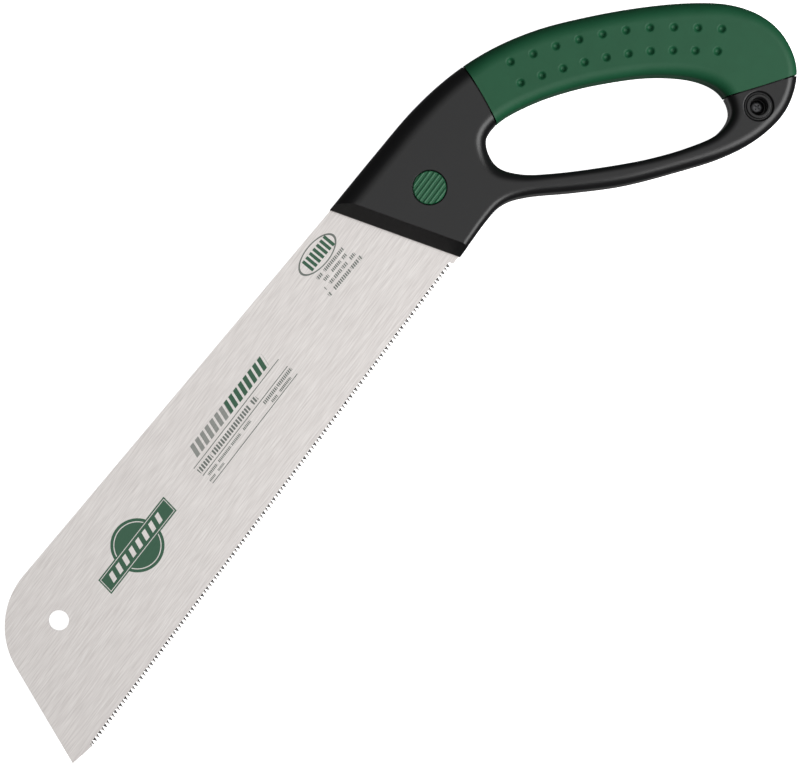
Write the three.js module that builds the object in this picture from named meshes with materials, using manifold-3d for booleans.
// A pull saw with a quick-release blade, lying on its side.
// Units are millimetres. +X runs from the toe to the handle along the tooth line, +Y from the teeth
// to the spine, and +Z towards the button side. The origin is on the handle's back face, on the
// button's axis, and z = 0 is the surface that the saw lies on.
import * as THREE from 'three';
import { mergeVertices } from 'three/addons/utils/BufferGeometryUtils.js';
import Module from 'manifold-3d';

const wasm = await Module();
wasm.setup();

// ---- driving dimensions ----
const GAP = 0.3; // between pieces that touch
const SIDES = 24; // of a round piece
const SCREW_SIDES = 16;
const FINE = 3; // steps of a curve between two of its points

// Handle: two shells that meet at mid-thickness, with a rounded rim.
const HANDLE_THICK = 25;
const MID = HANDLE_THICK / 2;
const RIM_WIDTH = 3.5;
const RIM_HEIGHT = 6;
const RIM_STEPS = 3;
const FRONT_TOP = [-32.4, 28.5]; // ends of the straight front edge, where the blade comes out
const FRONT_BOTTOM = [-15.4, -27.7];
const CHAMFER_WIDTH = 5.7; // of the bevel along the front edge
const CHAMFER_LAND = 2.5; // height of the front edge from mid-thickness to the bevel
const SPINE_AND_BACK = [
  FRONT_TOP, [-1.4, 27.1], [22.6, 25.5], [43.6, 21.4], [62.6, 14.3], [80.6, 3.8], [97.6, -9.9],
  [113.6, -24.9], [127.6, -40.4], [137.6, -55], [141.9, -69.2], [140.2, -82.7], [132.1, -94.7],
  [117.6, -100.7], [101.6, -99.2], [85.6, -91.9], [68.6, -79.7], [50.6, -65.2], [35.6, -49.9],
  [22.6, -35.5], [13.6, -28.9], [3.6, -27.4], FRONT_BOTTOM,
];
const HAND_HOLE = [
  [24.4, -16.7], [27.6, -27.3], [36.6, -38.8], [50.1, -52.8], [64.3, -66.1], [78.1, -76.7],
  [90.6, -83.6], [101.3, -83.1], [106.3, -74], [103.9, -61.9], [94.6, -47.2], [81.6, -33.5],
  [68.5, -22.2], [54.6, -12.9], [40.6, -6.7], [30.1, -7.3],
];
const WALL = 2.8;

// Soft grip: a skin on each shell, between two joint lines across the handle.
const SKIN = 2.5;
const FRONT_JOINT = [[52.8, 28], [45.9, 5.6], [36.4, -11.2]];
const REAR_JOINT = [[100.8, -73.3], [118, -87], [138, -100.3]];
const DIMPLE_RADIUS = 1.6;
const DIMPLE_DEPTH = 0.8;
const DIMPLES_IN_ROW = 10;
const OUTER_DIMPLES = [[62.7, 4.4], [87.1, -12.8], [108.9, -33.6], [126.9, -58.6]];
const INNER_DIMPLES = [[58.2, -4.3], [81.1, -20.6], [101.5, -40.1], [118.3, -62.8]];

// Blade: 12 in long with its tang, 14 teeth to the inch.
const INCH = 25.4;
const BLADE_THICK = 0.7;
const TOOTH_LINE = -27.1;
const TOOTH_PITCH = INCH / 14;
const TOOTH_COUNT = 140;
const TOOTH_DEPTH = 2;
const TOOTH_LEAN = 0.62; // where the gullet lies between two points, as a share of the pitch
const FIRST_TOOTH = -273.6;
const TOE_TIP = [-285.6, -24.3];
const TOE_CORNER = [-258, 41.5]; // where the toe and the spine would meet
const TOE_RADIUS = 33.4;
const SPINE_AT_HANDLE = [-32.4, 28.3];
const HANG_HOLE = [-240.4, 16.7];
const HANG_HOLE_RADIUS = 4.25;
const TANG_END = 19.2;
const TANG_HALF_WIDTH = 14;
const TANG_CORNER = 2.5;
const SHOULDER = 3; // how far the full width goes into the handle

// Release button and the latch under it, both on the origin's axis.
const BUTTON_SIDES = 36;
const BUTTON_RADIUS = 7;
const BUTTON_RIM_RADIUS = 9.2;
const BUTTON_RIM_THICK = 2.6;
const BUTTON_NECK_RADIUS = 3.2;
const BUTTON_NECK_DEPTH = 3.6;
const BUTTON_WELL_RADIUS = 10;
const BUTTON_WALL = 3; // of the front shell over the button's rim
const BUTTON_RIBS = 7;
const RIB_PITCH = 1.95;
const RIB_WIDTH = 1;
const RIB_HEIGHT = 0.5;
const STEM_RADIUS = 1.2;
const STEM_LENGTH = 7.4;
const KEYHOLE_RADIUS = 3.6;
const KEYHOLE_SLOT = 3.2;
const BOSS_RADIUS = 3.2;
const SPRING_THICK = 0.8;
const SPRING_WIDTH = 9;
const SPRING_SEAT = 5.7; // height of the spring's fixed end
const SPRING_TOP = 11;
const SPRING_END = 35.5;
const SPRING_BEND = 20;
const SPRING_TIP = -5;
const SPRING_SCREWS = [24.6, 31.2];

// Screws: pan heads with a cross recess.
const SCREW_RADIUS = 1.5;
const HEAD_RADIUS = 3.1;
const HEAD_HEIGHT = 2.2;
const RECESS_WIDTH = 0.7;
const RECESS_REACH = 1.6;
const RECESS_DEPTH = 1.2;
const WELL_RADIUS = 3.6;
const BACK_SCREWS = [[-12, 20], [4, -20.3], [32, 14.5]];
const BACK_HEAD_Z = 4;
const BACK_SCREW_LENGTH = 16;
const TAIL_SCREW = [110.2, -90.5];
const TAIL_HEAD_Z = 17.3;
const TAIL_SCREW_LENGTH = 12.5;
const TAIL_RING = [5.1, 6.1]; // groove round the tail screw's well
const RING_DEPTH = 0.9;

// ---- solids ----
function solid(geometry) {
  const bare = geometry.clone();
  bare.deleteAttribute('normal');
  bare.deleteAttribute('uv');
  const merged = mergeVertices(bare, 1e-4);
  const vertProperties = new Float32Array(merged.attributes.position.array);
  const triVerts = new Uint32Array(merged.index.array);
  return new wasm.Manifold(new wasm.Mesh({ numProp: 3, vertProperties, triVerts }));
}

function geometryOf(body) {
  const mesh = body.getMesh();
  const geometry = new THREE.BufferGeometry();
  geometry.setAttribute('position', new THREE.BufferAttribute(mesh.vertProperties, 3));
  geometry.setIndex(new THREE.BufferAttribute(mesh.triVerts, 1));
  geometry.computeVertexNormals();
  return geometry;
}

function plate(shape, low, high) {
  const options = { depth: high - low, bevelEnabled: false, curveSegments: FINE };
  return solid(new THREE.ExtrudeGeometry(shape, options).translate(0, 0, low));
}

function box(x0, y0, z0, x1, y1, z1) {
  const geometry = new THREE.BoxGeometry(x1 - x0, y1 - y0, z1 - z0);
  return solid(geometry.translate((x0 + x1) / 2, (y0 + y1) / 2, (z0 + z1) / 2));
}

// A body of revolution about the vertical through [x, y], from [radius, height] points.
function turned(profile, [x, y], sides = SIDES) {
  const points = profile.map(([radius, height]) => new THREE.Vector2(radius, height));
  const geometry = new THREE.LatheGeometry([...points, points[0]], sides);
  return solid(geometry.rotateX(Math.PI / 2).translate(x, y, 0));
}

function disc(radius, low, high, centre, sides = SIDES) {
  return turned([[0, low], [radius, low], [radius, high], [0, high]], centre, sides);
}

function joined(bodies) {
  return bodies.reduce((sum, body) => sum.add(body));
}

function cut(body, tools) {
  return tools.reduce((rest, tool) => rest.subtract(tool), body);
}

// ---- outlines ----
function vectors(points) {
  return points.map(([x, y]) => new THREE.Vector2(x, y));
}

function curvePoints(points, closed) {
  const places = points.map(([x, y]) => new THREE.Vector3(x, y, 0));
  const curve = new THREE.CatmullRomCurve3(places, closed, 'catmullrom', 0.5);
  const steps = FINE * (closed ? points.length : points.length - 1);
  const found = [];
  for (let i = 0; i < steps + (closed ? 0 : 1); i += 1) {
    const at = curve.getPoint(i / steps);
    found.push([at.x, at.y]);
  }
  return found;
}

// Moves a closed outline to its left by a distance, which is inwards if it runs anticlockwise.
function moved(points, distance) {
  return points.map((point, i) => {
    const before = points[(i + points.length - 1) % points.length];
    const after = points[(i + 1) % points.length];
    const into = new THREE.Vector2(point[0] - before[0], point[1] - before[1]).normalize();
    const out = new THREE.Vector2(after[0] - point[0], after[1] - point[1]).normalize();
    const along = into.clone().add(out).normalize();
    const reach = distance / along.dot(into);
    return [point[0] - along.y * reach, point[1] + along.x * reach];
  });
}

const handleOutline = curvePoints(SPINE_AND_BACK, false);
const holeOutline = curvePoints(HAND_HOLE, true);

function handleShape() {
  const shape = new THREE.Shape(vectors(handleOutline));
  shape.holes.push(new THREE.Path(vectors(holeOutline)));
  return shape;
}

// The handle's outline runs clockwise and its hand hole anticlockwise, so the material is to the
// right of both.
function insetHandle(distance, low, high) {
  const outer = plate(new THREE.Shape(vectors(moved(handleOutline, -distance))), low, high);
  const hole = plate(new THREE.Shape(vectors(moved(holeOutline, -distance))), low - 1, high + 1);
  return outer.subtract(hole);
}

// The area of the soft grip, larger by the given distance at both of its joints.
function gripArea(grow) {
  const shape = new THREE.Shape();
  const [a, b, c] = FRONT_JOINT;
  const [d, e, f] = REAR_JOINT;
  shape.moveTo(a[0] - grow, a[1]);
  shape.quadraticCurveTo(b[0] - grow, b[1], c[0] - grow, c[1]);
  shape.lineTo(d[0], d[1] - grow);
  shape.quadraticCurveTo(e[0], e[1] - grow, f[0], f[1] - grow);
  shape.lineTo(f[0] + 40, f[1]);
  shape.lineTo(f[0] + 40, a[1]);
  return plate(shape, -1, HANDLE_THICK + 1);
}

// ---- handle ----
function roundedHandle() {
  const options = {
    depth: HANDLE_THICK - 2 * RIM_HEIGHT,
    bevelEnabled: true,
    bevelSize: RIM_WIDTH,
    bevelOffset: -RIM_WIDTH,
    bevelThickness: RIM_HEIGHT,
    bevelSegments: RIM_STEPS,
    curveSegments: FINE,
  };
  const geometry = new THREE.ExtrudeGeometry(handleShape(), options);
  return solid(geometry.translate(0, 0, RIM_HEIGHT));
}

// The wedge that bevels the front edge above the blade.
function frontBevel() {
  const slope = (MID - CHAMFER_LAND) / CHAMFER_WIDTH;
  const start = MID + CHAMFER_LAND;
  const past = 3;
  const section = new THREE.Shape(vectors([
    [-past, start - past * slope],
    [CHAMFER_WIDTH + past, HANDLE_THICK + past * slope],
    [-past, HANDLE_THICK + past * slope],
  ]));
  const along = new THREE.Vector3(
    FRONT_BOTTOM[0] - FRONT_TOP[0],
    FRONT_BOTTOM[1] - FRONT_TOP[1],
    0,
  );
  const length = along.length() + 20;
  along.normalize();
  const inward = new THREE.Vector3(-along.y, along.x, 0);
  const place = new THREE.Matrix4().makeBasis(inward, new THREE.Vector3(0, 0, 1), along);
  place.setPosition(FRONT_TOP[0] - 10 * along.x, FRONT_TOP[1] - 10 * along.y, 0);
  const wedge = new THREE.ExtrudeGeometry(section, { depth: length, bevelEnabled: false });
  return solid(wedge.applyMatrix4(place));
}

// Turns a body over about the blade's mid-plane.
function mirrored(body) {
  const geometry = geometryOf(body);
  geometry.scale(1, 1, -1);
  geometry.translate(0, 0, HANDLE_THICK);
  const index = geometry.index.array;
  for (let i = 0; i < index.length; i += 3) {
    [index[i], index[i + 1]] = [index[i + 1], index[i]];
  }
  return solid(geometry);
}

// Where the handle's front edge is at a height y.
function frontEdge(y) {
  const slope = (FRONT_BOTTOM[0] - FRONT_TOP[0]) / (FRONT_BOTTOM[1] - FRONT_TOP[1]);
  return FRONT_TOP[0] + slope * (y - FRONT_TOP[1]);
}

// The slot that holds the tang and the blade's shoulders.
function tangSlot() {
  const spare = 0.4;
  const deep = SHOULDER + spare;
  const top = FRONT_TOP[1] + 5;
  const bottom = FRONT_BOTTOM[1] - 5;
  const mouth = new THREE.Shape(vectors([
    [frontEdge(top) - 5, top],
    [frontEdge(top) + deep, top],
    [frontEdge(bottom) + deep, bottom],
    [frontEdge(bottom) - 5, bottom],
  ]));
  const low = MID - BLADE_THICK / 2 - GAP;
  const high = MID + BLADE_THICK / 2 + GAP;
  const side = TANG_HALF_WIDTH + spare;
  return plate(mouth, low, high).add(box(-30, -side, low, TANG_END + spare, side, high));
}

const halfHandle = cut(roundedHandle(), [
  frontBevel(),
  box(-60, -120, -1, 160, 60, MID + GAP / 2),
]);
const gripCore = insetHandle(SKIN + GAP, -1, HANDLE_THICK - SKIN - GAP);
const gripHollow = gripArea(-4).intersect(insetHandle(SKIN + GAP + WALL, -1, HANDLE_THICK - 6));
const halfShell = cut(halfHandle, [
  gripArea(GAP).subtract(gripCore),
  gripHollow,
  tangSlot(),
]);

function frontShell() {
  const wellTop = HANDLE_THICK - BUTTON_WALL;
  const [x, y] = TAIL_SCREW;
  const [groove, outer] = TAIL_RING;
  const ringLow = HANDLE_THICK - RING_DEPTH;
  const ringHigh = HANDLE_THICK + 1;
  const ring = turned([[groove, ringLow], [outer, ringLow], [outer, ringHigh], [groove, ringHigh]], [x, y]);
  const tipZ = BACK_HEAD_Z + BACK_SCREW_LENGTH + GAP;
  return cut(halfShell, [
    disc(BUTTON_WELL_RADIUS, MID, wellTop, [0, 0]),
    disc(BUTTON_RADIUS + GAP, MID, HANDLE_THICK + 1, [0, 0]),
    disc(WELL_RADIUS, TAIL_HEAD_Z - HEAD_HEIGHT - GAP, HANDLE_THICK + 1, [x, y]),
    disc(SCREW_RADIUS + GAP, MID, TAIL_HEAD_Z, [x, y]),
    ring,
    ...BACK_SCREWS.map((place) => disc(SCREW_RADIUS + GAP, MID, tipZ, place)),
  ]);
}

function backShell() {
  const half = mirrored(halfShell);
  const side = SPRING_WIDTH / 2 + 1;
  const floorZ = SPRING_SEAT - GAP;
  const tailTip = TAIL_HEAD_Z - TAIL_SCREW_LENGTH - GAP;
  return cut(half, [
    box(SPRING_TIP - 2, -side, WALL, SPRING_BEND + 1, side, MID),
    box(SPRING_BEND - 1, -side, floorZ, SPRING_END + 1, side, MID),
    ...SPRING_SCREWS.map((x) => disc(SCREW_RADIUS + GAP, 1.5, MID, [x, 0])),
    disc(SCREW_RADIUS + GAP, tailTip, MID, TAIL_SCREW),
    ...BACK_SCREWS.map((place) => disc(WELL_RADIUS, -1, BACK_HEAD_Z + HEAD_HEIGHT + GAP, place)),
    ...BACK_SCREWS.map((place) => disc(SCREW_RADIUS + GAP, BACK_HEAD_Z, MID, place)),
  ]);
}

function dimples(row) {
  const places = new THREE.SplineCurve(vectors(row)).getSpacedPoints(DIMPLES_IN_ROW - 1);
  const low = HANDLE_THICK - DIMPLE_DEPTH;
  const high = HANDLE_THICK + 1;
  const wide = DIMPLE_RADIUS * (1 + 1 / DIMPLE_DEPTH);
  return places.map((at) => turned([[0, low], [DIMPLE_RADIUS / 3, low], [wide, high], [0, high]], [at.x, at.y], 8));
}

const gripSkin = cut(halfHandle.intersect(gripArea(0)), [
  insetHandle(SKIN, -1, HANDLE_THICK - SKIN),
  ...dimples(OUTER_DIMPLES),
  ...dimples(INNER_DIMPLES),
]);

// ---- blade ----
function toeArc(shape) {
  const corner = new THREE.Vector2(...TOE_CORNER);
  const toTip = new THREE.Vector2(...TOE_TIP).sub(corner).normalize();
  const toHandle = new THREE.Vector2(...SPINE_AT_HANDLE).sub(corner).normalize();
  const half = Math.acos(toTip.dot(toHandle)) / 2;
  const middle = toTip.clone().add(toHandle).normalize();
  const centre = corner.clone().add(middle.multiplyScalar(TOE_RADIUS / Math.sin(half)));
  const from = corner.clone().add(toTip.multiplyScalar(TOE_RADIUS / Math.tan(half))).sub(centre);
  const to = corner.clone().add(toHandle.multiplyScalar(TOE_RADIUS / Math.tan(half))).sub(centre);
  shape.absarc(centre.x, centre.y, TOE_RADIUS, from.angle(), to.angle(), true);
}

// The gullets between the points, from the heel to the first point, which closes the outline.
function teeth(shape) {
  for (let i = TOOTH_COUNT - 1; i >= 0; i -= 1) {
    const tip = FIRST_TOOTH + i * TOOTH_PITCH;
    shape.lineTo(tip + TOOTH_LEAN * TOOTH_PITCH, TOOTH_LINE + TOOTH_DEPTH);
    if (i > 0) shape.lineTo(tip, TOOTH_LINE);
  }
}

function blade() {
  const heel = FIRST_TOOTH + TOOTH_COUNT * TOOTH_PITCH;
  const shoulderAt = (y) => frontEdge(y) + SHOULDER;
  const side = TANG_HALF_WIDTH;
  const shape = new THREE.Shape();
  shape.moveTo(FIRST_TOOTH, TOOTH_LINE);
  shape.lineTo(...TOE_TIP);
  toeArc(shape);
  shape.lineTo(...SPINE_AT_HANDLE);
  shape.lineTo(shoulderAt(SPINE_AT_HANDLE[1]), SPINE_AT_HANDLE[1]);
  shape.lineTo(shoulderAt(side), side);
  shape.absarc(TANG_END - TANG_CORNER, side - TANG_CORNER, TANG_CORNER, Math.PI / 2, 0, true);
  shape.absarc(TANG_END - TANG_CORNER, TANG_CORNER - side, TANG_CORNER, 0, -Math.PI / 2, true);
  shape.lineTo(shoulderAt(-side), -side);
  shape.lineTo(shoulderAt(TOOTH_LINE), TOOTH_LINE);
  shape.lineTo(heel, TOOTH_LINE);
  teeth(shape);
  const low = MID - BLADE_THICK / 2;
  const high = MID + BLADE_THICK / 2;
  const options = { depth: BLADE_THICK, bevelEnabled: false, curveSegments: SIDES };
  const body = solid(new THREE.ExtrudeGeometry(shape, options).translate(0, 0, low));
  return cut(body, [
    disc(HANG_HOLE_RADIUS, low - 1, high + 1, HANG_HOLE),
    disc(KEYHOLE_RADIUS, low - 1, high + 1, [0, 0]),
    box(0, -KEYHOLE_SLOT / 2, low - 1, TANG_END + 1, KEYHOLE_SLOT / 2, high + 1),
  ]);
}

// ---- button and latch ----
function button() {
  const rimTop = HANDLE_THICK - BUTTON_WALL - GAP;
  const rimLow = rimTop - BUTTON_RIM_THICK;
  const neckLow = rimLow - BUTTON_NECK_DEPTH;
  const face = HANDLE_THICK - RIB_HEIGHT;
  const profile = [
    [0, neckLow], [BUTTON_NECK_RADIUS, neckLow], [BUTTON_NECK_RADIUS, rimLow],
    [BUTTON_RIM_RADIUS, rimLow], [BUTTON_RIM_RADIUS, rimTop], [BUTTON_RADIUS, rimTop],
    [BUTTON_RADIUS, face], [0, face],
  ];
  const ribs = [];
  for (let i = 0; i < BUTTON_RIBS; i += 1) {
    const y = (i - (BUTTON_RIBS - 1) / 2) * RIB_PITCH;
    const half = Math.sqrt((BUTTON_RADIUS - 0.2) ** 2 - (Math.abs(y) + RIB_WIDTH / 2) ** 2);
    ribs.push(box(-half, y - RIB_WIDTH / 2, face - 1, half, y + RIB_WIDTH / 2, HANDLE_THICK));
  }
  const socket = disc(STEM_RADIUS + GAP, neckLow - 1, stemLow() + STEM_LENGTH + GAP, [0, 0]);
  return joined([turned(profile, [0, 0], BUTTON_SIDES), ...ribs]).subtract(socket);
}

// The stem stands just above the latch's boss.
function stemLow() {
  return MID + BLADE_THICK / 2 + GAP;
}

function stem() {
  return disc(STEM_RADIUS, stemLow(), stemLow() + STEM_LENGTH, [0, 0]);
}

// A bent leaf with a boss that stands up into the blade's keyhole.
function latchSpring() {
  const t = SPRING_THICK;
  const low = SPRING_TOP - t;
  const side = new THREE.Shape(vectors([
    [SPRING_END, SPRING_SEAT], [SPRING_END, SPRING_SEAT + t], [SPRING_BEND, SPRING_SEAT + t],
    [5, SPRING_TOP], [SPRING_TIP, SPRING_TOP], [SPRING_TIP, low], [4.8, low],
    [SPRING_BEND - 0.2, SPRING_SEAT],
  ]));
  const leaf = new THREE.ExtrudeGeometry(side, { depth: SPRING_WIDTH, bevelEnabled: false });
  leaf.rotateX(Math.PI / 2).translate(0, SPRING_WIDTH / 2, 0);
  const bossTop = MID + BLADE_THICK / 2 - 0.1;
  return cut(solid(leaf).add(disc(BOSS_RADIUS, low, bossTop, [0, 0])), SPRING_SCREWS.map(
    (x) => disc(SCREW_RADIUS + GAP, SPRING_SEAT - 1, SPRING_TOP, [x, 0]),
  ));
}

// ---- fasteners ----
// A screw that points down, with the top of its head at z = 0 and a cross recess in it.
function screw(length) {
  const body = turned([
    [0, -length], [SCREW_RADIUS * 0.6, -length], [SCREW_RADIUS, 1.6 - length],
    [SCREW_RADIUS, -HEAD_HEIGHT], [HEAD_RADIUS, -HEAD_HEIGHT], [HEAD_RADIUS, -0.8],
    [HEAD_RADIUS * 0.75, -0.1], [0, 0],
  ], [0, 0], SCREW_SIDES);
  const half = RECESS_WIDTH / 2;
  return cut(body, [
    box(-RECESS_REACH, -half, -RECESS_DEPTH, RECESS_REACH, half, 1),
    box(-half, -RECESS_REACH, -RECESS_DEPTH, half, RECESS_REACH, 1),
  ]);
}

// ---- assembly ----
const BLACK_PLASTIC = { color: 0x1f1f20, roughness: 0.45, metalness: 0 };
const GREEN_RUBBER = { color: 0x234a33, roughness: 0.55, metalness: 0 };
const GREEN_PLASTIC = { color: 0x1f5a38, roughness: 0.45, metalness: 0 };
const SAW_STEEL = { color: 0xd6d0cd, roughness: 0.4, metalness: 0.9 };
const SPRING_STEEL = { color: 0x8d9094, roughness: 0.35, metalness: 1 };
const BLACK_STEEL = { color: 0x2c2c2e, roughness: 0.45, metalness: 0.8 };

const saw = new THREE.Group();

function add(name, body, finish) {
  const mesh = new THREE.Mesh(geometryOf(body), new THREE.MeshStandardMaterial(finish));
  mesh.name = name;
  saw.add(mesh);
  return mesh;
}

add('blade', blade(), SAW_STEEL);
add('handle_front_shell', frontShell(), BLACK_PLASTIC);
add('handle_back_shell', backShell(), BLACK_PLASTIC);
add('grip_front', gripSkin, GREEN_RUBBER);
add('grip_back', mirrored(gripSkin), GREEN_RUBBER);
add('release_button', button(), GREEN_PLASTIC);
add('button_stem', stem(), SPRING_STEEL);
add('latch_spring', latchSpring(), SPRING_STEEL);

SPRING_SCREWS.forEach((x, i) => {
  const fastener = add(`latch_spring_screw_${i + 1}`, screw(7), SPRING_STEEL);
  fastener.position.set(x, 0, SPRING_SEAT + SPRING_THICK + GAP + HEAD_HEIGHT);
});

BACK_SCREWS.forEach(([x, y], i) => {
  const fastener = add(`shell_screw_${i + 1}`, screw(BACK_SCREW_LENGTH), BLACK_STEEL);
  fastener.rotation.x = Math.PI;
  fastener.position.set(x, y, BACK_HEAD_Z);
});

const tailScrew = add('tail_screw', screw(TAIL_SCREW_LENGTH), BLACK_STEEL);
tailScrew.position.set(...TAIL_SCREW, TAIL_HEAD_Z);

export default saw;
